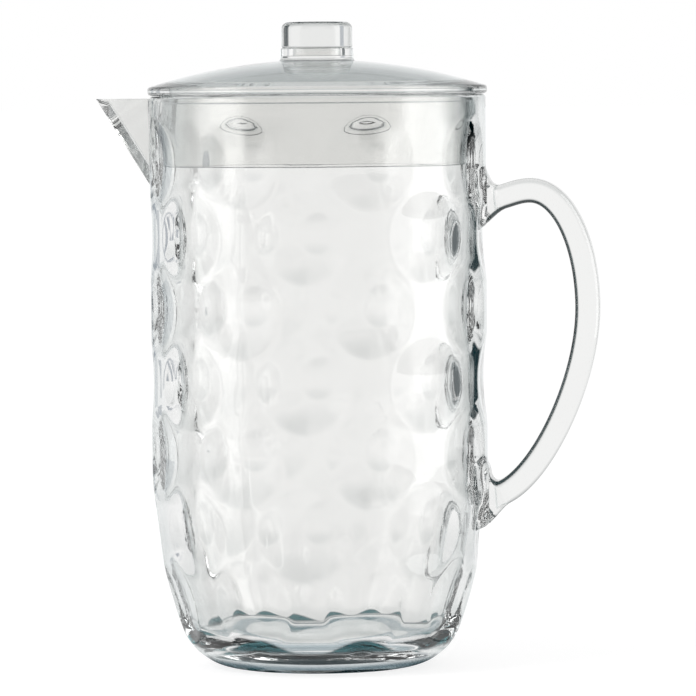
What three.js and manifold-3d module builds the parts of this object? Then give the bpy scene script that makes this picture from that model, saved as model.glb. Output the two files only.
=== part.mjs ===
// Clear plastic pitcher: a dimpled jug with a V spout, a strap handle and a lift-off lid with a knob.
// Millimetres, +Z up. The origin is the centre of the base, the spout points to -X, the handle to +X.
import * as THREE from 'three';
import { mergeVertices } from 'three/addons/utils/BufferGeometryUtils.js';
import { ConvexGeometry } from 'three/addons/geometries/ConvexGeometry.js';
import { LoftGeometry } from 'three/addons/geometries/LoftGeometry.js';
import Module from 'manifold-3d';

const wasm = await Module();
wasm.setup();

// Jug, outside
const BODY_R = 64.7;
const RIM_Z = 219.8;
const BASE_FLAT_R = 32;
const BASE_CORNER_R = 23;
const RIM_EDGE_R = 1.2;

// Jug, inside
const RIM_WALL = 3.6;
const WALL_DRAFT = 1.8;
const FLOOR_T = 11;
const FLOOR_FLAT_R = 38;
const FLOOR_CORNER_R = 11;

// Both skins turn up from the floor through this angle, then rise in one long arc to the straight wall
const CORNER_SWEEP = 70;

// Dimples: staggered rows of round scoops in the outside only
const DIMPLE_R = 18;
const DIMPLE_DEPTH = 2.8;
const DIMPLE_EDGE = 1.25;
const DIMPLE_COLUMNS = 8;
const DIMPLE_ROWS = 7;
const DIMPLE_TOP_Z = 194.2;
const DIMPLE_ROW_PITCH = 27.9;

// Spout
const SPOUT_REACH = 20.8;
const SPOUT_HALF_W = 11;
const SPOUT_DEPTH = 33.8;
const SPOUT_WALL = 2.3;
const SPOUT_BELOW_RIM = 0.8;
const SPOUT_KEEL_R = 1.5;

// Handle; its reaches are measured from the wall of the jug
const HANDLE_T = 9.4;
const HANDLE_W = 15;
const HANDLE_EDGE_R = 2.6;
const HANDLE_REACH = 38.9;
const HANDLE_WAIST_Z = 138;
const HANDLE_CREST_REACH = 17;
const HANDLE_CREST_Z = 182.8;
const HANDLE_SHOULDER_REACH = 30.1;
const HANDLE_SHOULDER_Z = 161.3;
const HANDLE_BELLY_Z = 107.6;
const HANDLE_TUCK_REACH = 17.5;
const UPPER_FOOT_Z = 179.6;
const LOWER_FOOT_Z = 65.6;
const UPPER_FOOT_H = 18;
const LOWER_FOOT_H = 21;
const FOOT_W = 18;
const FOOT_FLARE = 6;
const PAD_PROUD = 0.9;
const PAD_BLEND = 1.6;
const PAD_EMBED = 0.4;

// Lid
const LID_OVERHANG = 0.6;
const LID_EDGE_T = 3.2;
const LID_EDGE_R = 1.3;
const LID_EDGE_SWEEP = 70;
const LID_T = 2.6;
const DOME_RISE = 10.3;
const LAND_H = 3;
const SKIRT_DEPTH = 27;
const SKIRT_STEP = 0.8;
const SKIRT_TAPER = 0.7;
const SKIRT_T = 2.5;
const SKIRT_TIP_T = 1.9;
const COLLAR_R = 14.05;
const COLLAR_H = 4.5;
const COLLAR_FILLET = 1.6;

// Knob
const KNOB_INSET = 0.4;
const KNOB_H = 9.8;
const KNOB_EDGE_R = 2.8;
const SPIGOT_R = 9.2;
const SPIGOT_H = 3.2;

// Clearances
const BOND_GAP = 0.2;
const SEAT_GAP = 0.2;
const LAND_GAP = 0.4;

// Facets
const BODY_SEGMENTS = 72;
const CORE_SEGMENTS = 48;
const LID_SEGMENTS = 48;
const KNOB_SEGMENTS = 40;
const WALL_RINGS = 40;
const MERGE_TOLERANCE = 1e-4;

const rad = THREE.MathUtils.degToRad;
const lerp = THREE.MathUtils.lerp;

// Shared shape helpers
function arc(centreR, centreZ, radius, fromDeg, toDeg, steps) {
  const points = [];
  for (let i = 0; i <= steps; i += 1) {
    const angle = rad(lerp(fromDeg, toDeg, i / steps));
    points.push([centreR + radius * Math.cos(angle), centreZ + radius * Math.sin(angle)]);
  }
  return points;
}

function revolve(profile, segments) {
  const points = profile.map(([r, z]) => new THREE.Vector2(r, z));
  return new THREE.LatheGeometry(points, segments).rotateX(Math.PI / 2);
}

function toSolid(geometry) {
  geometry.deleteAttribute('normal');
  geometry.deleteAttribute('uv');
  const merged = mergeVertices(geometry, MERGE_TOLERANCE);
  return new wasm.Manifold(new wasm.Mesh({
    numProp: 3,
    vertProperties: new Float32Array(merged.attributes.position.array),
    triVerts: new Uint32Array(merged.index.array),
  }));
}

function toGeometry(solid) {
  const mesh = solid.getMesh();
  const geometry = new THREE.BufferGeometry();
  geometry.setAttribute('position', new THREE.BufferAttribute(new Float32Array(mesh.vertProperties), 3));
  geometry.setIndex(new THREE.BufferAttribute(new Uint32Array(mesh.triVerts), 1));
  geometry.computeVertexNormals();
  return geometry;
}

function loft(sections) {
  return new THREE.BufferGeometry().copy(new LoftGeometry(sections, { capStart: true, capEnd: true }));
}

function roundedSection(halfA, halfB, radius, steps) {
  const section = [];
  const corners = [[1, 1, 0], [-1, 1, 90], [-1, -1, 180], [1, -1, 270]];
  for (const [signA, signB, start] of corners) {
    const centreA = signA * (halfA - radius);
    const centreB = signB * (halfB - radius);
    section.push(...arc(centreA, centreB, radius, start, start + 90, steps));
  }
  return section;
}

// A jug skin: flat floor, corner arc, then one long arc that ends upright at the straight wall
function skin(floorZ, flatR, cornerR, wallR) {
  const sweep = rad(CORNER_SWEEP);
  const lean = Math.PI / 2 - sweep;
  const cornerTopR = flatR + cornerR * Math.sin(sweep);
  const cornerTopZ = floorZ + cornerR * (1 - Math.cos(sweep));
  const flankR = (wallR - cornerTopR) / (1 - Math.cos(lean));
  const wallZ = cornerTopZ + flankR * Math.sin(lean);
  const radiusAt = (z) => {
    const rise = Math.min(Math.max((wallZ - z) / flankR, 0), Math.sin(lean));
    return wallR - flankR * (1 - Math.sqrt(1 - rise * rise));
  };
  const corner = arc(flatR, floorZ + cornerR, cornerR, -90, CORNER_SWEEP - 90, 7);
  return { corner, cornerTopZ, wallZ, radiusAt };
}

// Depth of the scooped pattern at one place on the wall
function dimpleDepth(angle, z) {
  let depth = 0;
  const pitch = (2 * Math.PI) / DIMPLE_COLUMNS;
  for (let row = 0; row < DIMPLE_ROWS; row += 1) {
    const rowAngle = row % 2 === 0 ? pitch / 2 : 0;
    const turn = angle - rowAngle;
    const offset = turn - pitch * Math.round(turn / pitch);
    const rise = z - (DIMPLE_TOP_Z - row * DIMPLE_ROW_PITCH);
    const reach = Math.hypot(BODY_R * offset, rise) / DIMPLE_R;
    if (reach < 1) {
      depth += DIMPLE_DEPTH * Math.pow(1 - reach * reach, DIMPLE_EDGE);
    }
  }
  return depth;
}

const outer = skin(0, BASE_FLAT_R, BASE_CORNER_R, BODY_R);
const rimInnerR = BODY_R - RIM_WALL;
const inner = skin(FLOOR_T, FLOOR_FLAT_R, FLOOR_CORNER_R, rimInnerR - WALL_DRAFT);

// Outside of the jug: a revolved blank whose rings are pressed in at the dimples
function jugBlank() {
  const bandZ = RIM_Z - RIM_EDGE_R;
  const profile = [[0, 0], ...outer.corner];
  for (let i = 1; i <= WALL_RINGS; i += 1) {
    const z = lerp(outer.cornerTopZ, bandZ, i / WALL_RINGS);
    profile.push([outer.radiusAt(z), z]);
  }
  profile.push(...arc(BODY_R - RIM_EDGE_R, bandZ, RIM_EDGE_R, 0, 90, 2).slice(1));
  profile.push([0, RIM_Z]);
  const geometry = revolve(profile, BODY_SEGMENTS);
  const position = geometry.attributes.position;
  for (let i = 0; i < position.count; i += 1) {
    const radius = Math.hypot(position.getX(i), position.getY(i));
    const angle = Math.atan2(position.getY(i), position.getX(i));
    const pressed = radius > BASE_FLAT_R ? radius - dimpleDepth(angle, position.getZ(i)) : radius;
    position.setX(i, pressed * Math.cos(angle));
    position.setY(i, pressed * Math.sin(angle));
  }
  return geometry;
}

// Inside of the jug: a smooth core that widens a little to the rim so that it draws out
function jugCore() {
  const above = RIM_Z + RIM_WALL;
  const flankSteps = 6;
  const profile = [[0, FLOOR_T], ...inner.corner];
  for (let i = 1; i <= flankSteps; i += 1) {
    const z = lerp(inner.cornerTopZ, inner.wallZ, i / flankSteps);
    profile.push([inner.radiusAt(z), z]);
  }
  profile.push([rimInnerR, RIM_Z], [rimInnerR, above], [0, above]);
  return revolve(profile, CORE_SEGMENTS);
}

// A wedge that grows from the tip of the spout towards the jug; the inset one is the pouring channel
const spoutTopZ = RIM_Z - SPOUT_BELOW_RIM;
const spoutTipX = -(BODY_R + SPOUT_REACH);

function spoutWedge(inset, topZ, rootX) {
  const slopeW = SPOUT_HALF_W / SPOUT_REACH;
  const slopeD = SPOUT_DEPTH / SPOUT_REACH;
  const shift = inset * Math.hypot(slopeW * slopeD, slopeD, slopeW) / (slopeW * slopeD);
  const tipX = spoutTipX + shift;
  const rootRun = rootX - tipX;
  const over = (topZ - spoutTopZ) / slopeD;
  const points = [];
  for (const run of [0, rootRun]) {
    const x = tipX + run;
    const wide = slopeW * (run + over);
    for (const side of [-1, 1]) {
      points.push(new THREE.Vector3(x, side * wide, topZ));
    }
    for (const [y, z] of arc(0, spoutTopZ - slopeD * run + SPOUT_KEEL_R, SPOUT_KEEL_R, 180, 360, 6)) {
      points.push(new THREE.Vector3(x, y, Math.min(z, spoutTopZ)));
    }
  }
  return toSolid(new ConvexGeometry(points));
}

const channel = spoutWedge(SPOUT_WALL, RIM_Z + RIM_WALL, -(rimInnerR - 2 * RIM_WALL));

function spout() {
  const seat = new THREE.CylinderGeometry(BODY_R + BOND_GAP, BODY_R + BOND_GAP, 2 * RIM_Z, 2 * BODY_SEGMENTS);
  const bonded = toSolid(seat.rotateX(Math.PI / 2));
  const wedge = spoutWedge(0, spoutTopZ, -(BODY_R - RIM_WALL));
  return toGeometry(wedge.subtract(channel).subtract(bonded));
}

// Low pads that carry the feet of the handle, blended out into the dimpled wall
const padFaceX = BODY_R + PAD_PROUD;

function pad(footZ, footH) {
  const lowZ = footZ - footH / 2 - PAD_BLEND;
  const rootX = outer.radiusAt(lowZ) - DIMPLE_DEPTH - PAD_EMBED;
  const ring = (x, grow) => roundedSection(FOOT_W / 2 + grow, footH / 2 + grow, HANDLE_EDGE_R + grow, 4)
    .map(([y, z]) => new THREE.Vector3(x, y, footZ + z));
  const sections = [ring(rootX, PAD_BLEND), ring(BODY_R - PAD_PROUD, PAD_BLEND), ring(padFaceX, 0)];
  return toSolid(loft(sections));
}

function jug() {
  const blank = toSolid(jugBlank());
  const padded = blank.add(pad(UPPER_FOOT_Z, UPPER_FOOT_H)).add(pad(LOWER_FOOT_Z, LOWER_FOOT_H));
  return toGeometry(padded.subtract(toSolid(jugCore())).subtract(channel));
}

// Handle: a strap lofted along a bowed path, swelling into a flat foot at each end
function handle() {
  const footX = padFaceX + BOND_GAP;
  const crestX = BODY_R + HANDLE_CREST_REACH;
  const shoulderX = BODY_R + HANDLE_SHOULDER_REACH;
  const waistX = BODY_R + HANDLE_REACH;
  const tuckX = BODY_R + HANDLE_TUCK_REACH;
  const at = (x, z) => new THREE.Vector3(x, 0, z);
  const path = new THREE.CurvePath();
  const crest = at(crestX, HANDLE_CREST_Z);
  const waist = at(waistX, HANDLE_WAIST_Z);
  path.add(new THREE.CubicBezierCurve3(at(footX, UPPER_FOOT_Z), at(footX + FOOT_FLARE, UPPER_FOOT_Z),
    at(crestX - FOOT_FLARE, HANDLE_CREST_Z), crest));
  path.add(new THREE.CubicBezierCurve3(crest, at(shoulderX, HANDLE_CREST_Z), at(waistX, HANDLE_SHOULDER_Z), waist));
  path.add(new THREE.CubicBezierCurve3(waist, at(waistX, HANDLE_BELLY_Z), at(tuckX, LOWER_FOOT_Z),
    at(footX, LOWER_FOOT_Z)));

  const length = path.getLength();
  const flareSteps = [0, 0.15, 0.35, 0.6, 1].map((share) => share * FOOT_FLARE);
  const spanSteps = 22;
  const stations = [...flareSteps];
  for (let i = 1; i < spanSteps; i += 1) {
    stations.push(lerp(FOOT_FLARE, length - FOOT_FLARE, i / spanSteps));
  }
  stations.push(...flareSteps.map((step) => length - step).reverse());

  const swell = (distance) => Math.pow(Math.max(1 - distance / FOOT_FLARE, 0), 2);
  const sections = stations.map((station) => {
    const centre = path.getPointAt(station / length);
    const tangent = path.getTangentAt(station / length);
    const outward = new THREE.Vector3(-tangent.z, 0, tangent.x);
    const upper = swell(station);
    const lower = swell(length - station);
    const thick = HANDLE_T + upper * (UPPER_FOOT_H - HANDLE_T) + lower * (LOWER_FOOT_H - HANDLE_T);
    const wide = HANDLE_W + (upper + lower) * (FOOT_W - HANDLE_W);
    return roundedSection(wide / 2, thick / 2, HANDLE_EDGE_R, 3)
      .map(([y, n]) => centre.clone().addScaledVector(outward, n).add(new THREE.Vector3(0, y, 0)));
  });
  return toGeometry(toSolid(loft(sections)));
}

// Lid: shallow dome, flange on the rim, locating land, long skirt, collar with a socket for the knob
const lidR = BODY_R + LID_OVERHANG;
const flangeZ = RIM_Z + SEAT_GAP;
const domeEdgeZ = flangeZ + LID_EDGE_T;
const apexZ = domeEdgeZ + DOME_RISE;
const collarTopZ = apexZ + COLLAR_H;
const domeSphereR = (lidR * lidR + DOME_RISE * DOME_RISE) / (2 * DOME_RISE);
const domeCentreZ = apexZ - domeSphereR;

function domePoint(r, thickness) {
  const radius = domeSphereR - thickness;
  return [r, domeCentreZ + Math.sqrt(radius * radius - r * r)];
}

function lid() {
  const landR = rimInnerR - LAND_GAP;
  const skirtR = landR - SKIRT_STEP;
  const skirtTipR = skirtR - SKIRT_TAPER;
  const skirtInnerR = skirtR - SKIRT_T;
  const tipZ = RIM_Z - SKIRT_DEPTH;
  const filletR = COLLAR_R + COLLAR_FILLET;
  const [, filletZ] = domePoint(filletR, 0);
  const domeSteps = 6;
  const under = [];
  const top = [];
  for (let i = 0; i <= domeSteps; i += 1) {
    under.push(domePoint(lerp(0, skirtInnerR, i / domeSteps), LID_T));
    top.push(domePoint(lerp(lidR - LID_EDGE_R, filletR, i / domeSteps), 0));
  }
  const socketR = SPIGOT_R + BOND_GAP;
  const socketZ = collarTopZ - SPIGOT_H - BOND_GAP;
  const profile = [
    ...under,
    [skirtTipR - SKIRT_TIP_T, tipZ],
    [skirtTipR, tipZ],
    [skirtR, flangeZ - LAND_H],
    [landR, flangeZ - LAND_H],
    [landR, flangeZ],
    ...arc(lidR - LID_EDGE_R, flangeZ + LID_EDGE_R, LID_EDGE_R, -90, 0, 3),
    ...arc(lidR - LID_EDGE_R, domeEdgeZ - LID_EDGE_R, LID_EDGE_R, 0, LID_EDGE_SWEEP, 2),
    ...top,
    ...arc(filletR, filletZ + COLLAR_FILLET, COLLAR_FILLET, 270, 180, 3).slice(1),
    [COLLAR_R, collarTopZ],
    [socketR, collarTopZ],
    [socketR, socketZ],
    [0, socketZ],
  ];
  return toGeometry(toSolid(revolve(profile, LID_SEGMENTS)));
}

// Knob: a plain round grip with a soft upper edge and a spigot bonded into the collar
function knob() {
  const shoulderZ = collarTopZ + SEAT_GAP;
  const topZ = shoulderZ + KNOB_H;
  const knobR = COLLAR_R - KNOB_INSET;
  const profile = [
    [0, shoulderZ - SPIGOT_H],
    [SPIGOT_R, shoulderZ - SPIGOT_H],
    [SPIGOT_R, shoulderZ],
    [knobR, shoulderZ],
    ...arc(knobR - KNOB_EDGE_R, topZ - KNOB_EDGE_R, KNOB_EDGE_R, 0, 90, 5),
    [0, topZ],
  ];
  return toGeometry(toSolid(revolve(profile, KNOB_SEGMENTS)));
}

function clearPlastic(color, roughness) {
  return new THREE.MeshStandardMaterial({ color, roughness, metalness: 0, transparent: true, opacity: 0.4 });
}

function piece(name, geometry, material) {
  const mesh = new THREE.Mesh(geometry, material);
  mesh.name = name;
  return mesh;
}

const pitcher = new THREE.Group();
pitcher.name = 'pitcher';
pitcher.add(piece('pitcher_body', jug(), clearPlastic(0xe6ebe9, 0.05)));
pitcher.add(piece('spout', spout(), clearPlastic(0xe3e8e6, 0.06)));
pitcher.add(piece('handle', handle(), clearPlastic(0xeaeeec, 0.05)));

const cover = new THREE.Group();
cover.name = 'cover';
cover.add(piece('lid', lid(), clearPlastic(0xe4e9e8, 0.05)));
cover.add(piece('knob', knob(), clearPlastic(0xe6eaea, 0.04)));
pitcher.add(cover);

export default pitcher;
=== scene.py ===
"""Clear plastic pitcher: the visual model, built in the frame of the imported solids."""

import logging
import math
from dataclasses import dataclass, field
from enum import Enum
from typing import Any, Callable, Iterable, Sequence

import bmesh
import bpy
from mathutils import Matrix, Vector

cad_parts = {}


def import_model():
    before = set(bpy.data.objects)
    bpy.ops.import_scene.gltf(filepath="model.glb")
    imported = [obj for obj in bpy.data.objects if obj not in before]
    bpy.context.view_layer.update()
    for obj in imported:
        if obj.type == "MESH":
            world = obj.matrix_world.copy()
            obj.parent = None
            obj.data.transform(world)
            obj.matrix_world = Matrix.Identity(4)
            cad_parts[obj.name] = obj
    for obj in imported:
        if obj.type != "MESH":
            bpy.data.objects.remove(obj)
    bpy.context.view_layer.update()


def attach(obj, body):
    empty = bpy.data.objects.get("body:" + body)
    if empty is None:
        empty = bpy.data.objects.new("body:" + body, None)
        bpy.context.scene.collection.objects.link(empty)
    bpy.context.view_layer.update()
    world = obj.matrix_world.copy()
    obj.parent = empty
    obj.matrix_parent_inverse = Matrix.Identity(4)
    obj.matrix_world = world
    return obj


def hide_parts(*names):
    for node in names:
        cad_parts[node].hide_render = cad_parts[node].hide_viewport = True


LOG = logging.getLogger("pitcher")
# Millimetres to metres
MM = 0.001
# Distance of the holding points beside a rounding, in millimetres
HOLD = 0.08
# Distances under which points are merged, in metres
WELD = 1e-6
HULL_WELD = 1e-7
# Neighbouring faces of a wrapped shape that turn by less than this many degrees become one
HULL_FLAT = 0.5
# How much more a large face counts than its small neighbours when normals are evened
FLAT_WEIGHT = 100
WHITE = (1.0, 1.0, 1.0, 1.0)
Point = tuple[float, float]
Shade = tuple[float, float, float]
Section = dict[bmesh.types.BMVert, Point]


class Body(Enum):
    """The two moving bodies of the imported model."""

    JUG = "jug"
    COVER = "cover"


class Sock:
    """A shader value; arithmetic on it adds Math nodes."""

    def __init__(self, graph: "Graph", socket: Any) -> None:
        """Keeps the socket and the graph that it belongs to."""
        self.graph = graph
        self.socket = socket

    def _math(self, operation: str, *values: Any) -> "Sock":
        """Adds one Math node.

        Args:
            operation: The node's operation.
            values: Its values or sockets, in order.

        Returns:
            The node's result.
        """
        return self.graph.node("ShaderNodeMath", {"operation": operation}, dict(enumerate(values)))

    def __add__(self, other: Any) -> "Sock":
        """Sum."""
        return self._math("ADD", self, other)

    def __radd__(self, other: Any) -> "Sock":
        """Sum, the other way round."""
        return self._math("ADD", other, self)

    def __sub__(self, other: Any) -> "Sock":
        """Difference."""
        return self._math("SUBTRACT", self, other)

    def __rsub__(self, other: Any) -> "Sock":
        """Difference, the other way round."""
        return self._math("SUBTRACT", other, self)

    def __mul__(self, other: Any) -> "Sock":
        """Product."""
        return self._math("MULTIPLY", self, other)

    def __pow__(self, other: Any) -> "Sock":
        """Power."""
        return self._math("POWER", self, other)

    def most(self, other: Any) -> "Sock":
        """The larger of two values."""
        return self._math("MAXIMUM", self, other)

    def size(self) -> "Sock":
        """The value without its sign."""
        return self._math("ABSOLUTE", self)

    def cosine(self) -> "Sock":
        """Cosine of an angle in radians."""
        return self._math("COSINE", self)

    def turn(self, across: "Sock") -> "Sock":
        """Angle of a point that is this far up and so far across."""
        return self._math("ARCTAN2", self, across)

    def reach(self, across: "Sock") -> "Sock":
        """Distance of a point that is this far up and so far across."""
        return (self * self + across * across) ** 0.5


class Graph:
    """A node tree that is written as expressions."""

    def __init__(self, tree: bpy.types.NodeTree) -> None:
        """Takes over a node tree and empties it."""
        self.tree = tree
        tree.nodes.clear()

    def node(self, kind: str, settings: dict[str, Any] | None = None,
             sockets: dict[Any, Any] | None = None, out: Any = 0) -> Sock:
        """Adds a node.

        Args:
            kind: The node's type name.
            settings: Properties that are set first; "stops" fills a colour ramp.
            sockets: Input name or number to a value or a Sock.
            out: The output's name or number.

        Returns:
            The chosen output.
        """
        made = self.tree.nodes.new(kind)
        for name, value in (settings or {}).items():
            if name == "stops":
                self._stops(made.color_ramp, value)
            else:
                setattr(made, name, value)
        for name, value in (sockets or {}).items():
            target = made.inputs[name]
            if isinstance(value, Sock):
                self.tree.links.new(value.socket, target)
            else:
                target.default_value = value
        return Sock(self, made.outputs[out] if len(made.outputs) else made)

    def ease(self, value: Sock, low: float, high: float) -> Sock:
        """Smooth step of a value between two levels.

        Args:
            value: The value.
            low: Level that gives zero.
            high: Level that gives one.

        Returns:
            The eased value.
        """
        return self.node("ShaderNodeMapRange", {"interpolation_type": "SMOOTHSTEP"},
                         {"Value": value, "From Min": low, "From Max": high})

    def mix(self, share: Sock, first: Any, second: Any, way: str = "MIX") -> Sock:
        """Mixes two colours.

        Args:
            share: Share of the second colour.
            first: The first colour.
            second: The second colour.
            way: The node's way of mixing.

        Returns:
            The mixed colour.
        """
        return self.node("ShaderNodeMix", {"data_type": "RGBA", "blend_type": way},
                         {0: share, 6: first, 7: second}, out=2)

    def deepen(self, colour: Sock, mask: Sock, shade: Shade) -> Sock:
        """Multiplies a colour by a shade where the mask says so.

        Args:
            colour: The colour.
            mask: One where the shade counts in full.
            shade: The shade.

        Returns:
            The deeper colour.
        """
        return self.mix(mask, colour, (*shade, 1.0), "MULTIPLY")

    def parts(self, vector: Sock) -> tuple[Sock, Sock, Sock]:
        """The three numbers of a vector.

        Args:
            vector: The vector.

        Returns:
            Its X, Y and Z.
        """
        x = self.node("ShaderNodeSeparateXYZ", {}, {0: vector})
        ends = x.socket.node.outputs
        return x, Sock(self, ends["Y"]), Sock(self, ends["Z"])

    @staticmethod
    def _stops(ramp: bpy.types.ColorRamp, stops: Sequence[tuple[float, Sequence[float]]]) -> None:
        """Fills a colour ramp.

        Args:
            ramp: The ramp.
            stops: Place and colour of each stop, in order.
        """
        while len(ramp.elements) < len(stops):
            ramp.elements.new(0.5)
        for element, (place, colour) in zip(ramp.elements, stops):
            element.position = place
            element.color = colour


@dataclass(frozen=True)
class ClearPlastic:
    """Polished clear moulding plastic, faintly tinted, with handling marks, slight moulding waves and painted
    shade where the surface turns edge-on.
    """

    name: str
    tint: Shade
    cast: Shade
    # Painted shade that the colour takes where the surface turns edge-on, standing in for the dark outlines
    # of clear plastic.
    painted_rim_shade: Shade = (0.30, 0.40, 0.42)
    rim_power: float = 3.0
    rim_blend: float = 0.5
    ior: float = 1.49
    gloss: float = 0.008
    cloud_scale: float = 26.0
    cloud_detail: float = 2.0
    scuff: float = 0.05
    scuff_scale: float = 420.0
    scuff_detail: float = 5.0
    scuff_power: float = 6.0
    wave_scale: float = 38.0
    wave_detail: float = 1.0
    wave_height: float = 0.00003

    def material(self) -> bpy.types.Material:
        """Makes the material.

        Returns:
            The new material.
        """
        made = bpy.data.materials.new(self.name)
        made.use_nodes = True
        graph = Graph(made.node_tree)
        spot = graph.node("ShaderNodeTexCoord", out="Object")
        cloud, marks, wave = (
            graph.node("ShaderNodeTexNoise", {}, {"Vector": spot, "Scale": scale, "Detail": detail})
            for scale, detail in (
                (self.cloud_scale, self.cloud_detail),
                (self.scuff_scale, self.scuff_detail),
                (self.wave_scale, self.wave_detail),
            )
        )
        facing = graph.node("ShaderNodeLayerWeight", {}, {"Blend": self.rim_blend}, out="Facing")
        body = graph.mix(cloud, (*self.tint, 1.0), (*self.cast, 1.0))
        # Painted shade: the colour darkens where the surface turns edge-on to the view.
        colour = graph.mix(facing ** self.rim_power, body, (*self.painted_rim_shade, 1.0))
        colour = self.tone(graph, spot, colour)
        rough = self.gloss + (marks ** self.scuff_power) * self.scuff
        bump = graph.node("ShaderNodeBump", {},
                          {"Strength": 1.0, "Distance": self.wave_height, "Height": wave})
        shader = graph.node("ShaderNodeBsdfPrincipled", {}, {
            "Base Color": colour, "Roughness": rough, "Normal": bump, "IOR": self.ior,
            "Transmission Weight": 1.0,
        })
        graph.node("ShaderNodeOutputMaterial", {}, {"Surface": shader})
        return made

    def tone(self, graph: Graph, spot: Sock, colour: Sock) -> Sock:
        """Paints shade into the colour at certain places, of which the plain plastic has none.

        Args:
            graph: The material's node tree.
            spot: Place on the piece.
            colour: The plastic's colour.

        Returns:
            The colour to use.
        """
        return colour


@dataclass(frozen=True)
class JugPlastic(ClearPlastic):
    """Plastic of the jug, with painted shade in its heavy base, in waves under the lowest dimples, and
    painted shade low round the foot. Metres.
    """

    columns: int = 8
    # Painted shade of the waves round the base, standing in for the dark surroundings that the thick base
    # refracts.
    deep: Shade = (0.004, 0.035, 0.042)
    deep_top: float = 0.0121
    deep_wave: float = 0.003
    deep_soft: float = 0.0014
    deep_foot: float = 0.0072
    deep_fade: float = 0.003
    # Painted shade low round the foot.
    painted_foot_shade: Shade = (0.2, 0.28, 0.32)
    foot_shade_low: float = 0.003
    foot_shade_high: float = 0.007
    skin: tuple[float, float] = (0.047, 0.049)
    foot: tuple[float, float] = (0.033, 0.035)

    def tone(self, graph: Graph, spot: Sock, colour: Sock) -> Sock:
        """Paints shade into the colour in the base: waves under the lowest dimples and a band low round the
        foot.

        Args:
            graph: The material's node tree.
            spot: Place on the piece.
            colour: The plastic's colour.

        Returns:
            The colour to use.
        """
        x, y, z = graph.parts(spot)
        wave = (y.turn(x) * float(self.columns)).cosine()
        radius = y.reach(x)
        outer = graph.ease(radius, *self.skin)
        under = 1.0 - graph.ease(z + wave * self.deep_wave, self.deep_top - self.deep_soft, self.deep_top)
        over = graph.ease(z, self.deep_foot, self.deep_foot + self.deep_fade)
        # Painted shade in waves round the base.
        colour = graph.deepen(colour, outer * under * over, self.deep)
        # Painted shade low round the foot.
        low = 1.0 - graph.ease(z, self.foot_shade_low, self.foot_shade_high)
        return graph.deepen(colour, low * graph.ease(radius, *self.foot), self.painted_foot_shade)


@dataclass(frozen=True)
class LidPlastic(ClearPlastic):
    """Plastic of the lid, with a painted line of shade at the skirt's cut edge. Metres."""

    # Painted shade of the line at the skirt's tip, standing in for the dark edge that the plastic refracts.
    line: Shade = (0.06, 0.08, 0.09)
    tip: float = 0.1928
    tip_tall: float = 0.0006

    def tone(self, graph: Graph, spot: Sock, colour: Sock) -> Sock:
        """Paints a line of shade into the colour at the skirt's tip.

        Args:
            graph: The material's node tree.
            spot: Place on the piece.
            colour: The plastic's colour.

        Returns:
            The colour to use.
        """
        _, _, z = graph.parts(spot)
        return graph.deepen(colour, 1.0 - graph.ease(z, self.tip, self.tip + self.tip_tall), self.line)


@dataclass(frozen=True)
class HandlePlastic(ClearPlastic):
    """Plastic of the strap, with painted shade along its two inner edges. Metres."""

    # Painted shade along the inner edges, standing in for the dark edges that the strap refracts.
    line: Shade = (0.004, 0.008, 0.009)
    heart: tuple[float, float, float] = (0.07, 0.0, 0.13)
    inner: tuple[float, float] = (0.1, 0.25)
    rise: tuple[float, float] = (0.05, 0.2)
    fall: tuple[float, float] = (0.8, 0.95)

    def tone(self, graph: Graph, spot: Sock, colour: Sock) -> Sock:
        """Paints shade into the colour on the two rounded edges beside the finger gap.

        Args:
            graph: The material's node tree.
            spot: Place on the piece.
            colour: The plastic's colour.

        Returns:
            The colour to use.
        """
        inward = graph.node("ShaderNodeVectorMath", {"operation": "SUBTRACT"}, {0: self.heart, 1: spot})
        flat = graph.node("ShaderNodeVectorMath", {"operation": "MULTIPLY"},
                          {0: inward, 1: (1.0, 0.0, 1.0)})
        way = graph.node("ShaderNodeVectorMath", {"operation": "NORMALIZE"}, {0: flat})
        normal = graph.node("ShaderNodeTexCoord", out="Normal")
        facing = graph.node("ShaderNodeVectorMath", {"operation": "DOT_PRODUCT"},
                            {0: way, 1: normal}, out="Value")
        _, across, _ = graph.parts(normal)
        side = across.size()
        edge = graph.ease(side, *self.rise) * (1.0 - graph.ease(side, *self.fall))
        return graph.deepen(colour, graph.ease(facing, *self.inner) * edge, self.line)


def arc_points(centre: Point, radius: float, start: float, end: float, steps: int) -> list[Point]:
    """Points along an arc.

    Args:
        centre: The arc's centre, out and up, in millimetres.
        radius: Its radius.
        start: First angle in degrees, from straight out.
        end: Last angle.
        steps: Number of stretches.

    Returns:
        The points, both ends included.
    """
    angles = [math.radians(start + (end - start) * i / steps) for i in range(steps + 1)]
    return [(centre[0] + radius * math.cos(a), centre[1] + radius * math.sin(a)) for a in angles]


def rounded(corners: Sequence[tuple[float, float, float]], steps: int = 7) -> list[Point]:
    """Rounds the corners of an outline.

    Args:
        corners: Out, up and rounding radius of each corner; 0 keeps it sharp.
        steps: Stretches of each rounding.

    Returns:
        The outline's points.
    """
    points: list[Point] = []
    last = len(corners) - 1
    for i, (r, z, radius) in enumerate(corners):
        here = Vector((r, z))
        if radius <= 0.0 or i in (0, last):
            points.append((r, z))
            continue
        back = (Vector(corners[i - 1][:2]) - here).normalized()
        ahead = (Vector(corners[i + 1][:2]) - here).normalized()
        half = math.acos(max(-1.0, min(1.0, back.dot(ahead)))) / 2
        centre = here + (back + ahead).normalized() * (radius / math.sin(half))
        reach = radius / math.tan(half)
        first = here + back * reach - centre
        second = here + ahead * reach - centre
        sweep = first.angle_signed(second)
        points.append(tuple(here + back * (reach + HOLD)))
        for k in range(steps + 1):
            turn = Matrix.Rotation(-sweep * k / steps, 2)
            points.append(tuple(centre + turn @ first))
        points.append(tuple(here + ahead * (reach + HOLD)))
    return points


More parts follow.
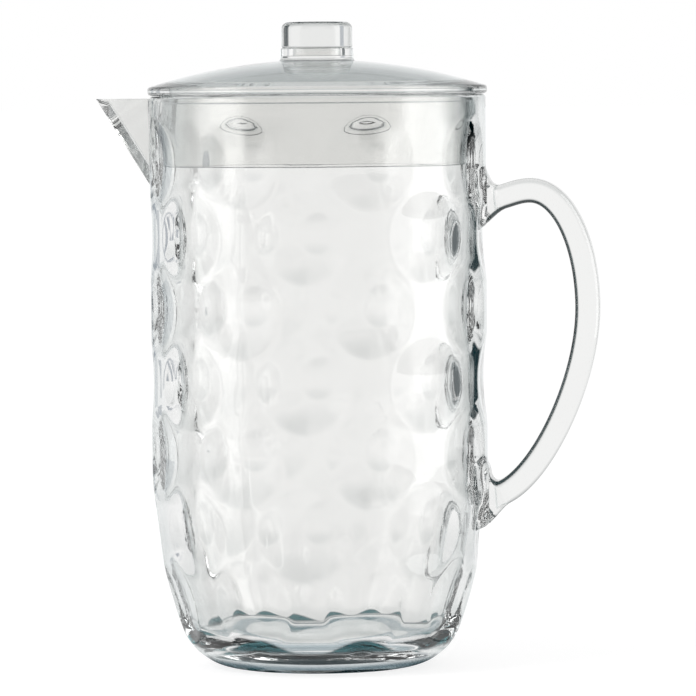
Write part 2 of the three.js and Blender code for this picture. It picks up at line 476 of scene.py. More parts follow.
def spin_outline(outline: Sequence[Point], steps: int) -> bmesh.types.BMesh:
    """Turns an outline round the upright axis.

    Args:
        outline: Out and up, in millimetres, from the axis to the axis.
        steps: Number of stretches round.

    Returns:
        A closed shape in metres.
    """
    bm = bmesh.new()
    verts = [bm.verts.new((r * MM, 0.0, z * MM)) for r, z in outline]
    edges = [bm.edges.new(pair) for pair in zip(verts, verts[1:])]
    bmesh.ops.spin(bm, geom=[*verts, *edges], cent=(0, 0, 0), axis=(0, 0, 1), angle=math.tau,
                   steps=steps, use_merge=True)
    bmesh.ops.remove_doubles(bm, verts=bm.verts, dist=WELD)
    bmesh.ops.recalc_face_normals(bm, faces=bm.faces)
    return bm


def hull(points: Iterable[Vector]) -> bmesh.types.BMesh:
    """Wraps points in a closed convex shape.

    Args:
        points: The points, in metres.

    Returns:
        The shape.
    """
    bm = bmesh.new()
    verts = [bm.verts.new(p) for p in points]
    bmesh.ops.remove_doubles(bm, verts=verts, dist=HULL_WELD)
    made = bmesh.ops.convex_hull(bm, input=bm.verts)
    bmesh.ops.delete(bm, geom=list({*made["geom_interior"], *made["geom_unused"]}), context="VERTS")
    bmesh.ops.dissolve_limit(bm, angle_limit=math.radians(HULL_FLAT), verts=bm.verts, edges=bm.edges)
    bmesh.ops.recalc_face_normals(bm, faces=bm.faces)
    return bm


def to_object(bm: bmesh.types.BMesh, name: str) -> bpy.types.Object:
    """Makes an object of a shape.

    Args:
        bm: The shape, which is freed.
        name: The object's name.

    Returns:
        The object, in the scene.
    """
    mesh = bpy.data.meshes.new(name)
    bm.to_mesh(mesh)
    bm.free()
    made = bpy.data.objects.new(name, mesh)
    bpy.context.scene.collection.objects.link(made)
    return made


def settle(obj: bpy.types.Object) -> None:
    """Applies an object's modifiers to its mesh.

    Args:
        obj: The object.
    """
    graph = bpy.context.evaluated_depsgraph_get()
    mesh = bpy.data.meshes.new_from_object(obj.evaluated_get(graph))
    obj.modifiers.clear()
    obj.data = mesh


def carve(obj: bpy.types.Object, cutter: bpy.types.Object) -> None:
    """Cuts one shape out of another and removes the cutter.

    Args:
        obj: The shape that stays.
        cutter: The shape that is taken away.
    """
    cut = obj.modifiers.new("cut", "BOOLEAN")
    cut.operation = "DIFFERENCE"
    cut.solver = "EXACT"
    cut.object = cutter
    settle(obj)
    bpy.data.objects.remove(cutter)


def soften(obj: bpy.types.Object, crease: float) -> None:
    """Shades a piece smooth, apart from its creases.

    Args:
        obj: The piece.
        crease: Angle in degrees over which an edge stays crisp.
    """
    bm = bmesh.new()
    bm.from_mesh(obj.data)
    for face in bm.faces:
        face.smooth = True
    for edge in bm.edges:
        edge.smooth = len(edge.link_faces) == 2 and edge.calc_face_angle() < math.radians(crease)
    bm.to_mesh(obj.data)
    bm.free()


def flatten(obj: bpy.types.Object) -> None:
    """Lets large flat faces keep their own normals beside smooth edges.

    Args:
        obj: The piece, already softened.
    """
    even = obj.modifiers.new("even", "WEIGHTED_NORMAL")
    even.keep_sharp = True
    even.weight = FLAT_WEIGHT
    settle(obj)


class Piece:
    """A sub-assembly that is one piece with one finish."""

    finish: ClearPlastic

    def dress(self, obj: bpy.types.Object, body: Body, node: str, slot: str) -> None:
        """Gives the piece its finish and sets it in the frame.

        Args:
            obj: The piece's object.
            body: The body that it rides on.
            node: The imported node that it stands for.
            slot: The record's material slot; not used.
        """
        obj.data.materials.clear()
        obj.data.materials.append(self.finish.material())
        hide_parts(node)
        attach(obj, body.value)


@dataclass
class Skin:
    """One face of the jug's wall: flat floor, corner arc, long flank arc, straight wall. Millimetres."""

    floor: float
    flat: float
    corner: float
    wall: float
    sweep: float = 70.0

    def __post_init__(self) -> None:
        """Works out where the arcs meet."""
        turn = math.radians(self.sweep)
        self.lean = math.pi / 2 - turn
        self.corner_top = self.floor + self.corner * (1 - math.cos(turn))
        self.flank = (self.wall - self.flat - self.corner * math.sin(turn)) / (1 - math.cos(self.lean))
        self.wall_z = self.corner_top + self.flank * math.sin(self.lean)

    def radius(self, z: float) -> float:
        """Radius of the skin at a height.

        Args:
            z: The height, not under the floor.

        Returns:
            The radius of the corner, flank or wall there.
        """
        if z < self.corner_top:
            drop = self.floor + self.corner - z
            return self.flat + math.sqrt(max(self.corner ** 2 - drop * drop, 0.0))
        rise = max((self.wall_z - z) / self.flank, 0.0)
        return self.wall - self.flank * (1 - math.sqrt(1 - rise * rise))

    def corner_points(self, steps: int) -> list[Point]:
        """Points of the corner arc, from the floor up."""
        return arc_points((self.flat, self.floor + self.corner), self.corner, -90.0, self.sweep - 90.0, steps)


@dataclass
class Dimples:
    """Staggered rows of round scoops. Millimetres."""

    radius: float = 18.0
    depth: float = 2.8
    edge: float = 1.25
    columns: int = 8
    rows: int = 7
    top: float = 194.2
    pitch: float = 27.9

    def depth_at(self, angle: float, z: float, girth: float) -> float:
        """Depth of the pattern at one place.

        Args:
            angle: Turn from the handle, in radians.
            z: Height.
            girth: Radius of the wall that the pattern was drawn on.

        Returns:
            How far the surface is pressed in.
        """
        step = math.tau / self.columns
        total = 0.0
        for row in range(self.rows):
            rise = z - (self.top - row * self.pitch)
            if abs(rise) >= self.radius:
                continue
            turn = angle - (step / 2 if row % 2 == 0 else 0.0)
            offset = turn - step * round(turn / step)
            reach = math.hypot(girth * offset, rise) / self.radius
            if reach < 1.0:
                total += self.depth * (1.0 - reach * reach) ** self.edge
        return total


@dataclass
class Jug(Piece):
    """Thick clear jug with a dimpled outside and a smooth inside. Millimetres."""

    girth: float = 64.7
    rim: float = 219.8
    rim_edge: float = 1.2
    rim_wall: float = 3.6
    draft: float = 1.8
    base_flat: float = 32.0
    base_corner: float = 23.0
    floor_thick: float = 11.0
    floor_flat: float = 38.0
    floor_corner: float = 11.0
    steps: int = 256
    ring: float = 1.5
    base_steps: int = 16
    rim_steps: int = 6
    wall_steps: int = 24
    flank_steps: int = 18
    floor_steps: int = 14
    slack: float = 0.1
    crease: float = 38.0
    pad_proud: float = 0.9
    pad_blend: float = 3.2
    pad_corner: float = 2.6
    foot_width: float = 18.0
    feet: tuple[tuple[float, float], ...] = ((179.6, 18.0), (65.6, 21.0))
    dimples: Dimples = field(default_factory=Dimples)
    finish: ClearPlastic = JugPlastic("jug_clear_plastic", (0.925, 0.925, 0.918), (0.912, 0.913, 0.905))

    def __post_init__(self) -> None:
        """Makes the two skins of the wall."""
        self.outside = Skin(0.0, self.base_flat, self.base_corner, self.girth)
        self.inside = Skin(self.floor_thick, self.floor_flat, self.floor_corner, self.mouth - self.draft)

    @property
    def mouth(self) -> float:
        """Inner radius at the rim."""
        return self.girth - self.rim_wall

    @property
    def pad_face(self) -> float:
        """Distance of the handle pads' faces from the axis."""
        return self.girth + self.pad_proud

    def outline(self) -> list[Point]:
        """Outline of the jug's section.

        Returns:
            Points from the middle of the base, round the rim, to the middle of the floor.
        """
        top = self.rim - self.rim_edge
        low, wall_z = self.outside.corner_top, self.inside.wall_z
        points: list[Point] = [(0.0, 0.0), (self.outside.flat / 2, 0.0)]
        points += self.outside.corner_points(self.base_steps)
        count = round((top - low) / self.ring)
        for i in range(1, count + 1):
            z = low + (top - low) * i / count
            points.append((self.outside.radius(z), z))
        points += arc_points((self.girth - self.rim_edge, top), self.rim_edge, 0.0, 90.0, self.rim_steps)[1:]
        points += arc_points((self.mouth + self.rim_edge, top), self.rim_edge, 90.0, 180.0, self.rim_steps)
        top -= HOLD
        for i in range(self.wall_steps + 1):
            z = top + (wall_z - top) * i / self.wall_steps
            points.append((self.inside.wall + self.draft * (z - wall_z) / (self.rim - wall_z), z))
        for i in range(1, self.flank_steps):
            z = wall_z + (self.inside.corner_top - wall_z) * i / self.flank_steps
            points.append((self.inside.radius(z), z))
        points += reversed(self.inside.corner_points(self.floor_steps))
        points += [(self.inside.flat / 2, self.inside.floor), (0.0, self.inside.floor)]
        return points

    def press(self, bm: bmesh.types.BMesh) -> None:
        """Presses the dimples and raises the handle pads on the outside.

        Args:
            bm: The turned jug.
        """
        for vert in bm.verts:
            x, y, z = vert.co / MM
            radius = math.hypot(x, y)
            inner = self.inside.radius(z) if z > self.inside.floor - self.slack else 0.0
            if radius < (inner + self.outside.radius(z)) / 2 or z > self.rim - self.rim_edge:
                continue
            angle = math.atan2(y, x)
            radius -= self.dimples.depth_at(angle, z, self.girth)
            x, y = radius * math.cos(angle), radius * math.sin(angle)
            if x > 0.0:
                x += (self.pad_face - x) * self.pad_weight(y, z)
            vert.co = Vector((x, y, z)) * MM

    def pad_weight(self, y: float, z: float) -> float:
        """Share of the handle pad at one place.

        Args:
            y: Sideways place.
            z: Height.

        Returns:
            One on a pad, zero away from it, smooth between.
        """
        best = 0.0
        for height, tall in self.feet:
            aside = max(abs(y) - self.foot_width / 2 + self.pad_corner, 0.0)
            above = max(abs(z - height) - tall / 2 + self.pad_corner, 0.0)
            out = math.hypot(aside, above) - self.pad_corner
            share = min(max(1.0 - out / self.pad_blend, 0.0), 1.0)
            best = max(best, share * share * (3.0 - 2.0 * share))
        return best

    def build(self, channel: bmesh.types.BMesh) -> bpy.types.Object:
        """Builds the jug.

        Args:
            channel: Shape of the pouring channel that is cut through the wall.

        Returns:
            The finished piece.
        """
        bm = spin_outline(self.outline(), self.steps)
        self.press(bm)
        jug = to_object(bm, "jug")
        carve(jug, to_object(channel, "channel"))
        soften(jug, self.crease)
        self.dress(jug, Body.JUG, "pitcher_body", "jug_clear")
        return jug


@dataclass
class Spout(Piece):
    """Pointed V trough bonded on the outside of the jug. Millimetres."""

    jug: Jug
    reach: float = 20.8
    half_width: float = 11.0
    depth: float = 33.8
    wall: float = 2.3
    below_rim: float = 0.8
    keel: float = 1.5
    keel_steps: int = 10
    bond: float = 0.05
    seat_span: Point = (100.0, 300.0)
    crease: float = 30.0
    finish: ClearPlastic = ClearPlastic("spout_clear_plastic", (0.885, 0.886, 0.878), (0.87, 0.872, 0.864),
                                        painted_rim_shade=(0.8, 0.82, 0.82), wave_height=0.00001)

    def wedge(self, inset: float, top: float, root: float) -> bmesh.types.BMesh:
        """Wedge that grows from the tip towards the jug.

        Args:
            inset: Distance inside the spout's outer faces.
            top: Height of the wedge's upper face.
            root: Place of its inner end, outwards from the axis.

        Returns:
            The wedge.
        """
        wide = self.half_width / self.reach
        deep = self.depth / self.reach
        shift = inset * math.hypot(wide * deep, deep, wide) / (wide * deep)
        tip = -(self.jug.girth + self.reach) + shift
        level = self.jug.rim - self.below_rim
        over = (top - level) / deep
        points: list[Vector] = []
        for run in (0.0, -root - tip):
            x = tip + run
            points += [Vector((x, side * wide * (run + over), top)) * MM for side in (-1.0, 1.0)]
            centre = (0.0, level - deep * run + self.keel)
            bow = arc_points(centre, self.keel, 180.0, 360.0, self.keel_steps)
            points += [Vector((x, y, min(z, level))) * MM for y, z in bow]
        return hull(points)

    def channel(self) -> bmesh.types.BMesh:
        """Shape of the pouring channel, through the wall of the jug."""
        jug = self.jug
        return self.wedge(self.wall, jug.rim + jug.rim_wall, jug.mouth - 2 * jug.rim_wall)

    def build(self) -> bpy.types.Object:
        """Builds the spout.

        Returns:
            The finished piece.
        """
        level = self.jug.rim - self.below_rim
        spout = to_object(self.wedge(0.0, level, self.jug.mouth), "spout")
        carve(spout, to_object(self.channel(), "channel"))
        seat = self.jug.girth + self.bond
        low, high = self.seat_span
        outline = [(0.0, low), (seat, low), (seat, high), (0.0, high)]
        carve(spout, to_object(spin_outline(outline, self.jug.steps), "seat"))
        soften(spout, self.crease)
        flatten(spout)
        self.dress(spout, Body.JUG, "spout", "spout_clear")
        return spout


@dataclass
class Handle(Piece):
    """Flat-sided bowed strap with a flared foot at each end. Millimetres."""

    jug: Jug
    thick: float = 9.4
    wide: float = 15.0
    edge: float = 2.6
    flare: float = 6.0
    reach: float = 38.9
    waist: float = 138.0
    crest: Point = (17.0, 182.8)
    shoulder: Point = (30.1, 161.3)
    belly: float = 107.6
    tuck: float = 17.5
    bond: float = 0.05
    stations: int = 110
    span_steps: int = 200
    edge_steps: int = 8
    edge_profile: float = 0.5
    crease: float = 50.0
    finish: ClearPlastic = HandlePlastic("handle_clear_plastic", (0.895, 0.897, 0.89), (0.88, 0.883, 0.875),
                                         painted_rim_shade=(0.02, 0.03, 0.03), wave_scale=55.0)

    def spans(self) -> list[tuple[Vector, Vector, Vector, Vector]]:
        """Bezier spans of the strap's middle line.

        Returns:
            Four control points of each span, out and up.
        """
        foot = self.jug.pad_face + self.bond
        (high, _), (low, _) = self.jug.feet
        wall = self.jug.girth
        crest = Vector((wall + self.crest[0], self.crest[1]))
        waist = Vector((wall + self.reach, self.waist))
        return [
            (Vector((foot, high)), Vector((foot + self.flare, high)),
             crest - Vector((self.flare, 0.0)), crest),
            (crest, Vector((wall + self.shoulder[0], crest.y)), Vector((waist.x, self.shoulder[1])), waist),
            (waist, Vector((waist.x, self.belly)), Vector((wall + self.tuck, low)), Vector((foot, low))),
        ]

    def middle(self) -> list[Vector]:
        """Evenly spaced points of the middle line.

        Returns:
            The points, out and up.
        """
        fine: list[Vector] = []
        for a, b, c, d in self.spans():
            for i in range(self.span_steps):
                t = i / self.span_steps
                s = 1 - t
                fine.append(a * s ** 3 + b * (3 * s * s * t) + c * (3 * s * t * t) + d * t ** 3)
        fine.append(self.spans()[-1][3])
        runs = [0.0]
        for a, b in zip(fine, fine[1:]):
            runs.append(runs[-1] + (b - a).length)
        points: list[Vector] = []
        at = 0
        for i in range(self.stations + 1):
            want = runs[-1] * i / self.stations
            while at < len(runs) - 2 and runs[at + 1] < want:
                at += 1
            share = (want - runs[at]) / (runs[at + 1] - runs[at])
            points.append(fine[at].lerp(fine[at + 1], min(share, 1.0)))
        return points

    def swell(self, distance: float) -> float:
        """Share of the foot's flare at a distance from its end."""
        return max(1.0 - distance / self.flare, 0.0) ** 2

    def build(self) -> bpy.types.Object:
        """Builds the strap by extruding its section from foot to foot.

        Returns:
            The finished piece.
        """
        bm = bmesh.new()
        half = Vector((self.wide / 2, self.thick / 2))
        signs = ((1, 1), (-1, 1), (-1, -1), (1, -1))
        bm.faces.new([bm.verts.new((a * half.x, b * half.y, 0.0)) for a, b in signs])
        bmesh.ops.bevel(bm, geom=bm.verts[:], offset=self.edge, offset_type="OFFSET", affect="VERTICES",
                        segments=self.edge_steps, profile=self.edge_profile, material=-1)
        ring = list(bm.edges)
        section: Section = {v: (v.co.x, v.co.y) for v in bm.verts}
        points = self.middle()
        total = sum((b - a).length for a, b in zip(points, points[1:]))
        step = total / self.stations
        (_, high), (_, low) = self.jug.feet
        for i, point in enumerate(points):
            ahead = points[min(i + 1, self.stations)] - points[max(i - 1, 0)]
            if i in (0, self.stations):
                ahead = Vector((1.0 if i == 0 else -1.0, 0.0))
            ahead.normalize()
            upper, lower = self.swell(i * step), self.swell(total - i * step)
            grow_t = (upper * (high - self.thick) + lower * (low - self.thick)) / 2
            grow_w = (upper + lower) * (self.jug.foot_width - self.wide) / 2
            if i:
                made = bmesh.ops.extrude_edge_only(bm, edges=ring)["geom"]
                section = self.carry(section, {e for e in made if isinstance(e, bmesh.types.BMVert)})
                ring = [e for e in made if isinstance(e, bmesh.types.BMEdge)
                        and all(v in section for v in e.verts)]
            for vert, (y, n) in section.items():
                y += math.copysign(grow_w, y)
                n += math.copysign(grow_t, n)
                vert.co = Vector((point.x - ahead.y * n, y, point.y + ahead.x * n)) * MM
        bmesh.ops.contextual_create(bm, geom=ring)
        bmesh.ops.recalc_face_normals(bm, faces=bm.faces)
        handle = to_object(bm, "handle")
        soften(handle, self.crease)
        flatten(handle)
        self.dress(handle, Body.JUG, "handle", "handle_clear")
        return handle

    @staticmethod
    def carry(section: Section, new: set[bmesh.types.BMVert]) -> Section:
        """Hands the section's places on to the extruded ring.

        Args:
            section: Vertices of the last ring and their places in the section.
            new: Vertices of the new ring.

        Returns:
            The new ring's vertices and places.
        """
        carried: Section = {}
        for vert, spot in section.items():
            for edge in vert.link_edges:
                other = edge.other_vert(vert)
                if other in new:
                    carried[other] = spot
        return carried


@dataclass
class Lid(Piece):
    """Shallow dome with flange, locating land, long skirt and a collar for the knob. Millimetres."""

    jug: Jug
    overhang: float = 0.6
    edge_thick: float = 3.2
    edge: float = 1.3
    thick: float = 2.6
    rise: float = 10.3
    seat: float = 0.2
    land: float = 3.0
    land_gap: float = 0.4
    skirt: float = 27.0
    skirt_step: float = 0.8
    skirt_taper: float = 0.7
    skirt_thick: float = 2.5
    skirt_tip: float = 1.9
    collar: float = 14.05
    collar_tall: float = 4.5
    socket: float = 9.25
    socket_deep: float = 3.25
    fillet: float = 1.2
    tip_round: float = 0.5
    step_round: float = 0.3
    land_round: float = 0.5
    seat_round: float = 0.4
    collar_round: float = 0.6
    collar_clear: float = 1.6
    socket_round: float = 0.3
    under_steps: int = 20
    over_steps: int = 24
    crease: float = 50.0
    steps: int = 256
    finish: ClearPlastic = LidPlastic("lid_clear_plastic", (0.898, 0.898, 0.89), (0.884, 0.884, 0.876))

    @property
    def radius(self) -> float:
        """Radius of the flange."""
        return self.jug.girth + self.overhang

    @property
    def flange(self) -> float:
        """Height of the flange's underside."""
        return self.jug.rim + self.seat

    @property
    def apex(self) -> float:
        """Height of the dome's top."""
        return self.flange + self.edge_thick + self.rise

    @property
    def collar_top(self) -> float:
        """Height of the collar's top."""
        return self.apex + self.collar_tall

    def dome(self, r: float, thick: float) -> float:
        """Height of the dome at a radius, on its top or that far below it."""
        ball = (self.radius ** 2 + self.rise ** 2) / (2 * self.rise)
        return self.apex - ball + math.sqrt((ball - thick) ** 2 - r * r)

    def build(self) -> bpy.types.Object:
        """Builds the lid.

        Returns:
            The finished piece.
        """
        land = self.jug.mouth - self.land_gap
        skirt = land - self.skirt_step
        tip = skirt - self.skirt_taper
        inner = skirt - self.skirt_thick
        low = self.jug.rim - self.skirt
        outer = self.radius - self.edge
        root = self.collar + self.collar_clear
        under = [inner * i / self.under_steps for i in range(self.under_steps)]
        over = [outer + (root - outer) * i / self.over_steps for i in range(self.over_steps + 1)]
        corners = [
            *((r, self.dome(r, self.thick), 0.0) for r in under),
            (inner, self.dome(inner, self.thick), self.fillet),
            (tip - self.skirt_tip, low, self.tip_round),
            (tip, low, self.tip_round),
            (skirt, self.flange - self.land, self.step_round),
            (land, self.flange - self.land, self.land_round),
            (land, self.flange, self.seat_round),
            (self.radius, self.flange, self.edge),
            (self.radius, self.flange + self.edge_thick, self.edge),
            *((r, self.dome(r, 0.0), 0.0) for r in over),
            (self.collar, self.dome(self.collar, 0.0), self.fillet),
            (self.collar, self.collar_top, self.collar_round),
            (self.socket, self.collar_top, self.socket_round),
            (self.socket, self.collar_top - self.socket_deep, self.socket_round),
            (0.0, self.collar_top - self.socket_deep, 0.0),
        ]
        lid = to_object(spin_outline(rounded(corners), self.steps), "lid")
        soften(lid, self.crease)
        self.dress(lid, Body.COVER, "lid", "lid_clear")
        return lid


@dataclass
class Knob(Piece):
    """Short round grip with a spigot in the lid's collar. Millimetres."""

    lid: Lid
    radius: float = 13.65
    edge: float = 2.8
    spigot: float = 9.2
    spigot_tall: float = 3.2
    seat: float = 0.05
    top: float = 248.0
    spigot_round: float = 0.4
    neck_round: float = 0.2
    shoulder_round: float = 0.7
    round_steps: int = 10
    crease: float = 50.0
    steps: int = 160
    # The third colour is the painted shade where the surface turns edge-on.
    finish: ClearPlastic = ClearPlastic("knob_clear_plastic", (0.81, 0.815, 0.808), (0.795, 0.8, 0.792),
                                        (0.03, 0.07, 0.08))

    def build(self) -> bpy.types.Object:
        """Builds the knob.

        Returns:
            The finished piece.
        """
        shoulder = self.lid.collar_top + self.seat
        corners = [
            (0.0, shoulder - self.spigot_tall, 0.0),
            (self.spigot, shoulder - self.spigot_tall, self.spigot_round),
            (self.spigot, shoulder, self.neck_round),
            (self.radius, shoulder, self.shoulder_round),
            (self.radius, self.top, self.edge),
            (0.0, self.top, 0.0),
        ]
        knob = to_object(spin_outline(rounded(corners, self.round_steps), self.steps), "knob")
        soften(knob, self.crease)
        self.dress(knob, Body.COVER, "knob", "knob_clear")
        return knob


@dataclass(frozen=True)
class Card:
    """A standing card with soft sides that only the plastic shows.

    Its bearing counts from straight behind the object, to the camera's right. Metres and degrees.
    """

    name: str
    bearing: float
    away: float
    wide: float
    low: float
    high: float
    shade: Shade
    strength: float = 1.0


@dataclass
class Studio:
    """Pale floor, soft light, cards round the set and the photograph's camera. Metres and degrees."""

    azimuth: float = 4.7
    distance: float = 2.1
    eye: float = 0.224
    aim: tuple[float, float] = (0.01105, 0.1224)
    scale: float = 0.000385
    frame: int = 696
    roll: float = 0.45
    sensor: float = 36.0
    far: float = 50.0
    fill: float = 0.6
    # Ring and shade of the painted shadow line round the base, and of the painted contact shadow under it.
    line: tuple[float, float, float] = (0.0655, 0.0005, 0.0035)
    line_shade: Shade = (0.28, 0.32, 0.33)
    patch: tuple[float, float, float] = (0.0, 0.04, 0.05)
    patch_shade: Shade = (0.0, 0.006, 0.008)
    disc_sides: int = 96
    disc_drop: float = 0.0001
    floor_drop: float = 0.0002
    floor_half: float = 60.0
    floor_glow: float = 0.84
    floor_paint: float = 0.3
    card_half: float = 0.5
    card_core: float = 0.25
    lamp_place: tuple[float, float, float] = (-1.4, -1.2, 1.4)
    lamp_aim: float = 0.1
    lamp_size: float = 0.9
    lamp_power: float = 18.0
    bounces: int = 32
    glossy_bounces: int = 16
    surround: tuple[tuple[float, Shade], ...] = (
        (-1.0, (1.0, 1.0, 1.0)),
        (-0.6, (1.0, 1.0, 1.0)),
        (-0.36, (0.82, 0.83, 0.83)),
        (-0.24, (0.85, 0.86, 0.86)),
        (-0.12, (0.99, 0.99, 0.99)),
        (0.1, (1.0, 1.0, 1.0)),
        (0.5, (0.36, 0.375, 0.38)),
        (0.61, (0.002, 0.02, 0.027)),
    )
    cards: tuple[Card, ...] = (
        Card("flag_right", 50.0, 0.75, 0.34, -0.02, 0.35, (0.0, 0.02, 0.026)),
        Card("flag_left", -33.0, 0.9, 0.16, 0.03, 0.35, (0.42, 0.45, 0.49)),
        Card("flag_front_right", 140.0, 1.2, 0.7, 0.35, 0.95, (0.02, 0.03, 0.035)),
        Card("flag_front_left", -140.0, 1.2, 0.7, 0.35, 0.95, (0.02, 0.03, 0.035)),
        Card("softbox_right", 100.0, 1.0, 0.95, -0.05, 1.15, (1.0, 1.0, 1.0), 3.0),
        Card("softbox_left", -106.0, 1.0, 0.95, -0.05, 1.15, (1.0, 1.0, 1.0), 2.0),
    )

    def camera(self) -> None:
        """Sets the camera where the photograph was taken."""
        turn = math.radians(self.azimuth)
        back = Vector((math.sin(turn), -math.cos(turn), 0.0))
        right = Vector((math.cos(turn), math.sin(turn), 0.0))
        target = right * self.aim[0] + Vector((0.0, 0.0, self.aim[1]))
        data = bpy.data.cameras.new("photo_camera")
        data.sensor_width = self.sensor
        data.lens = self.sensor * self.distance / (self.scale * self.frame)
        data.clip_end = self.far
        camera = bpy.data.objects.new("photo_camera", data)
        camera.location = back * self.distance + right * self.aim[0] + Vector((0.0, 0.0, self.eye))
        look = (target - camera.location).to_track_quat("-Z", "Y").to_matrix().to_4x4()
        camera.rotation_euler = (look @ Matrix.Rotation(math.radians(-self.roll), 4, "Z")).to_euler()
        bpy.context.scene.collection.objects.link(camera)
        bpy.context.scene.camera = camera

    @staticmethod
    def rays(graph: Graph) -> tuple[Sock, Sock]:
        """Which rays are looking.

        Args:
            graph: The node tree.

        Returns:
            One for camera rays, and one for rays that the plastic bends or mirrors.
        """
        camera = graph.node("ShaderNodeLightPath", out="Is Camera Ray")
        kinds = camera.socket.node.outputs
        glossy, bent = (Sock(graph, kinds[name]) for name in ("Is Glossy Ray", "Is Transmission Ray"))
        return camera, glossy.most(bent)

    def world(self) -> None:
        """White surroundings for the camera, shaded ones for the plastic and soft light for the rest."""
        world = bpy.data.worlds.new("studio")
        world.use_nodes = True
        bpy.context.scene.world = world
        graph = Graph(world.node_tree)
        camera, glass = self.rays(graph)
        way = graph.node("ShaderNodeTexCoord", out="Generated")
        _, _, z = graph.parts(way)
        stops = [(level / 2 + 0.5, (*shade, 1.0)) for level, shade in self.surround]
        around = graph.node("ShaderNodeValToRGB", {"stops": stops}, {0: z * 0.5 + 0.5})
        colour = graph.mix(glass, WHITE, around)
        strength = camera.most(glass) * (1.0 - self.fill) + self.fill
        light = graph.node("ShaderNodeBackground", {}, {"Color": colour, "Strength": strength})
        graph.node("ShaderNodeOutputWorld", {}, {"Surface": light})

    def floor(self) -> None:
        """Pale floor that takes the soft shadow; the plastic shows the surroundings in its place."""
        bm = bmesh.new()
        bmesh.ops.create_grid(bm, x_segments=1, y_segments=1, size=self.floor_half)
        floor = to_object(bm, "floor")
        floor.location.z = -self.floor_drop
        made = bpy.data.materials.new("pale_floor")
        made.use_nodes = True
        graph = Graph(made.node_tree)
        shade = self.floor_paint
        paint = graph.node("ShaderNodeBsdfDiffuse", {}, {"Color": (shade, shade, shade, 1.0)})
        glow = graph.node("ShaderNodeEmission", {}, {"Color": WHITE, "Strength": self.floor_glow})
        both = graph.node("ShaderNodeAddShader", {}, {0: paint, 1: glow})
        graph.node("ShaderNodeOutputMaterial", {}, {"Surface": both})
        floor.visible_glossy = False
        floor.visible_transmission = False
        floor.data.materials.append(made)

    def stand(self, card: Card) -> None:
        """Stands a card up, facing the object.

        Args:
            card: The card.
        """
        bm = bmesh.new()
        bmesh.ops.create_grid(bm, x_segments=1, y_segments=1, size=self.card_half)
        board = to_object(bm, card.name)
        turn = math.radians(self.azimuth - card.bearing)
        x, y = -math.sin(turn) * card.away, math.cos(turn) * card.away
        board.location = (x, y, (card.low + card.high) / 2)
        board.rotation_euler = (math.pi / 2, 0.0, turn)
        board.scale = (card.wide, card.high - card.low, 1.0)

        def middle(graph: Graph, spot: Sock) -> Sock:
            """One in the middle of the card, easing to zero at its sides."""
            across, _, _ = graph.parts(spot)
            return 1.0 - graph.ease(across.size(), self.card_core, self.card_half)

        self.paint(board, card.shade, card.strength, middle)

    def contact(self) -> None:
        """Painted contact shadow on the floor, a dark line round the base and a dark patch under it; only the
        plastic shows them.
        """
        self.disc("painted_shadow_line", self.line, self.line_shade)
        patch = self.disc("painted_contact_shadow", self.patch, self.patch_shade)
        patch.visible_transmission = False

    def disc(self, name: str, ring: tuple[float, float, float], shade: Shade) -> bpy.types.Object:
        """Lays a painted ring on the floor.

        Args:
            name: The board's name.
            ring: Radius of the ring, half width of its full shade and half width with its soft sides.
            shade: Its colour.

        Returns:
            The board.
        """
        radius, core, soft = ring
        bm = bmesh.new()
        bmesh.ops.create_circle(bm, cap_ends=True, radius=radius + 2 * soft, segments=self.disc_sides)
        board = to_object(bm, name)
        board.location.z = -self.disc_drop

        def mask(graph: Graph, spot: Sock) -> Sock:
            """One on the ring, easing to zero beside it."""
            x, y, _ = graph.parts(spot)
            return 1.0 - graph.ease((y.reach(x) - radius).size(), core, soft)

        self.paint(board, shade, 1.0, mask)
        return board

    @staticmethod
    def paint(board: bpy.types.Object, shade: Shade, strength: float,
              mask: Callable[[Graph, Sock], Sock]) -> None:
        """Paints a board that only the plastic shows.

        Args:
            board: The board.
            shade: Its colour.
            strength: Its brightness.
            mask: Gives one where the board is painted and zero where it is clear, from the place on it.
        """
        for rays in ("camera", "diffuse", "shadow"):
            setattr(board, f"visible_{rays}", False)
        made = bpy.data.materials.new(board.name)
        made.use_nodes = True
        graph = Graph(made.node_tree)
        spot = graph.node("ShaderNodeTexCoord", out="Object")
        glow = graph.node("ShaderNodeEmission", {}, {"Color": (*shade, 1.0), "Strength": strength})
        clear = graph.node("ShaderNodeBsdfTransparent")
        both = graph.node("ShaderNodeMixShader", {}, {0: mask(graph, spot), 1: clear, 2: glow})
        graph.node("ShaderNodeOutputMaterial", {}, {"Surface": both})
        board.data.materials.append(made)

    def lamp(self) -> None:
        """A soft lamp that faces the object and that the plastic doesn't show."""
        where = Vector(self.lamp_place)
        data = bpy.data.lights.new("soft_left", "AREA")
        data.size = self.lamp_size
        data.energy = self.lamp_power
        lamp = bpy.data.objects.new("soft_left", data)
        lamp.location = where
        lamp.visible_glossy = False
        lamp.visible_transmission = False
        away = where - Vector((0.0, 0.0, self.lamp_aim))
        lamp.rotation_euler = away.to_track_quat("Z", "Y").to_euler()
        bpy.context.scene.collection.objects.link(lamp)

    def build(self) -> None:
        """Sets up the whole studio."""
        self.camera()
        self.world()
        self.floor()
        for card in self.cards:
            self.stand(card)
        self.contact()
        self.lamp()
        scene = bpy.context.scene
        scene.view_settings.view_transform = "Standard"
        scene.cycles.max_bounces = self.bounces
        scene.cycles.transmission_bounces = self.bounces
        scene.cycles.glossy_bounces = self.glossy_bounces


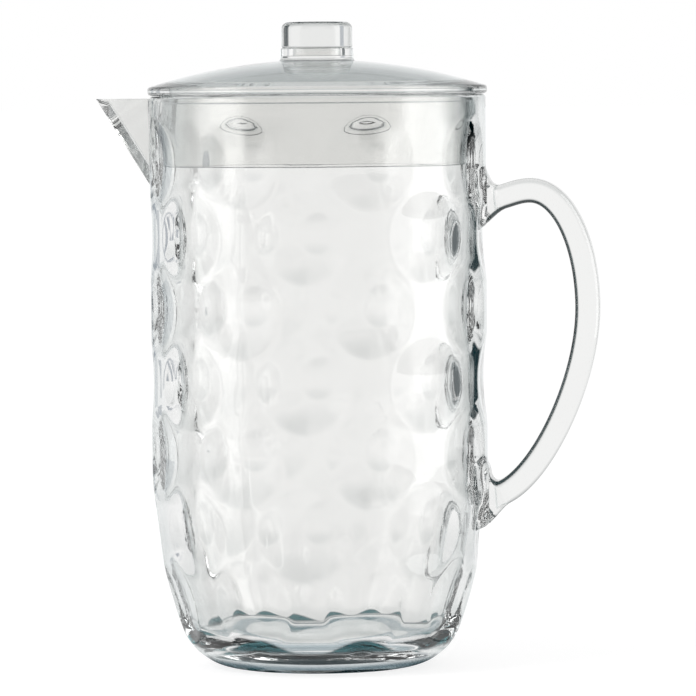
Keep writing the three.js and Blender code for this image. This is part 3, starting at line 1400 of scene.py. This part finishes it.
def main() -> None:
    """Builds the pitcher and its studio and reports each piece's face count."""
    logging.basicConfig(level=logging.INFO, format="%(name)s: %(message)s")
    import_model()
    Studio().build()
    jug = Jug()
    spout, handle, lid = Spout(jug), Handle(jug), Lid(jug)
    knob = Knob(lid)
    pieces = [jug.build(spout.channel()), spout.build(), handle.build(), lid.build(), knob.build()]
    for piece in pieces:
        LOG.info("%s: %d faces", piece.name, len(piece.data.polygons))


if __name__ == "__main__":
    main()
